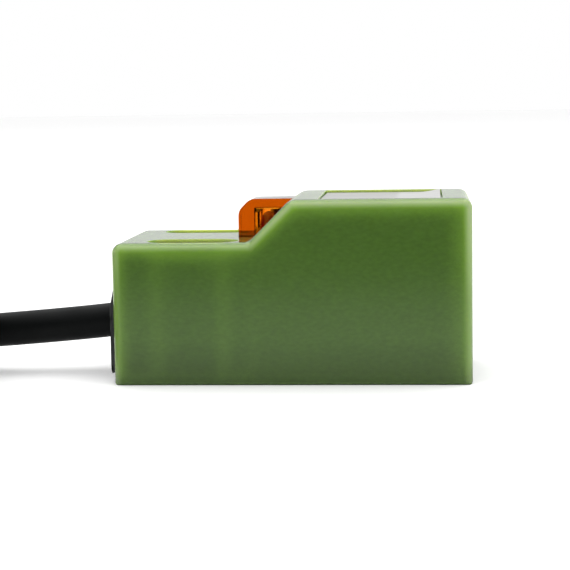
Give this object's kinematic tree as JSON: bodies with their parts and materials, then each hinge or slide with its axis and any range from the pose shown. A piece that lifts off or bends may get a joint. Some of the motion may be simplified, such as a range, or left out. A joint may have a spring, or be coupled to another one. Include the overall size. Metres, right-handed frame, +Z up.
{
  "type": "proximity sensor",
  "caption": "Rectangular inductive proximity sensor with a stepped plastic case, slotted mounting deck, indicator window and a flying cable, for detecting metal at short range.",
  "frame": {"origin": "under the middle of the sensor without its cable, on the surface that it stands on", "axes": "+Z up, +Y along the length towards the sensing face with the cable leaving towards -Y, +X across the width"},
  "size_m": [0.0348, 0.1175, 0.018],
  "materials": {
    "case_green": "semi-gloss moulded green plastic",
    "cover_black": "black moulded plastic",
    "plate_black": "matte black plastic",
    "lens_amber": "clear amber plastic",
    "label_white": "blank satin label",
    "lamp_red": "dark red epoxy",
    "tinned_metal": "tinned wire and solder",
    "board_green": "glass epoxy board with solder mask",
    "chip_black": "black moulded package",
    "chip_tan": "ceramic chip body",
    "capacitor_red": "dipped film capacitor",
    "capacitor_blue": "sleeved capacitor",
    "diode_red": "glass diode",
    "ferrite": "sintered ferrite",
    "bobbin_white": "natural nylon",
    "copper_wire": "enamelled copper wire",
    "resin_dark": "cast epoxy resin",
    "cable_black": "soft black PVC",
    "core_brown": "brown PVC core",
    "core_blue": "blue PVC core",
    "core_black": "black PVC core",
    "tie_white": "white plastic-coated tie"
  },
  "bodies": {
    "root": {"housing": "case_green", "base_cover": "cover_black", "rear_plate": "plate_black", "indicator_lens": "lens_amber", "rating_label": "label_white", "status_led": "lamp_red", "led_leads": "tinned_metal", "circuit_board": "board_green", "solder_joints": "tinned_metal", "oscillator_chip": "chip_black", "chip_pins": "tinned_metal", "output_transistor": "chip_black", "zener_diode": "diode_red", "polarity_diode": "chip_black", "chip_resistors": "chip_black", "chip_capacitors": "chip_tan", "tuning_capacitor": "capacitor_red", "smoothing_capacitor": "capacitor_blue", "ferrite_core": "ferrite", "coil_bobbin": "bobbin_white", "coil_winding": "copper_wire", "coil_leads": "copper_wire", "cable_sleeve": "cover_black", "cable_inner_end": "cable_black", "inner_lead_brown": "core_brown", "inner_lead_blue": "core_blue", "inner_lead_black": "core_black", "potting_compound": "resin_dark", "cable_run": "cable_black", "cable_hank": "cable_black", "hank_tie": "tie_white", "cable_tail": "cable_black", "tail_brown": "core_brown", "tail_blue": "core_blue", "tail_black": "core_black", "tinned_tips": "tinned_metal"}
  },
  "joints": []
}
